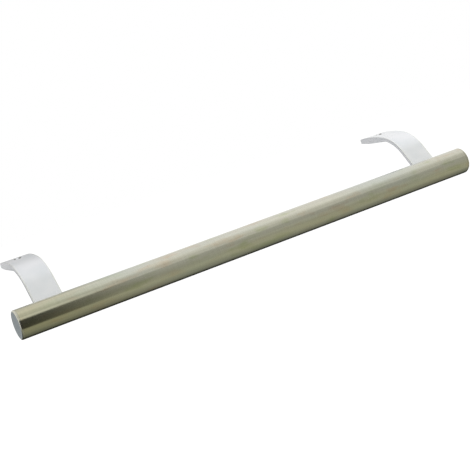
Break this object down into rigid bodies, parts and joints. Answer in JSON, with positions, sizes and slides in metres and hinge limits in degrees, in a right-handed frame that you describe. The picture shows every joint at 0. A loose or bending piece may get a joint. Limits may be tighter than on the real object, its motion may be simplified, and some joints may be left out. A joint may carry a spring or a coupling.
{
  "type": "refrigerator door handle",
  "caption": "Straight round tube handle on two curved arms whose crowned feet screw to the door's side face.",
  "frame": {"origin": "midway between the two fixing holes, in the plane of the feet's undersides", "axes": "+X along the tube from the left cap to the right cap, +Y from the tube towards the feet's toes, +Z out of the door's side face, from which the fixing screws go in"},
  "size_m": [0.37, 0.085, 0.0446],
  "materials": {
    "brushed_tube": "brushed along the tube, satin, with a warm olive cast",
    "plated_cap": "satin metal plating in the tube's colour",
    "satin_silver": "fine satin silver",
    "plated_steel": "zinc plated, turned",
    "screw_steel": "zinc plated"
  },
  "bodies": {
    "root": {"tube": "brushed_tube", "end_cap_left": "plated_cap", "end_cap_right": "plated_cap", "bracket_left": "satin_silver", "bracket_right": "satin_silver", "anchor_left": "plated_steel", "anchor_right": "plated_steel", "clamp_screw_left": "screw_steel", "clamp_screw_right": "screw_steel"}
  },
  "joints": []
}
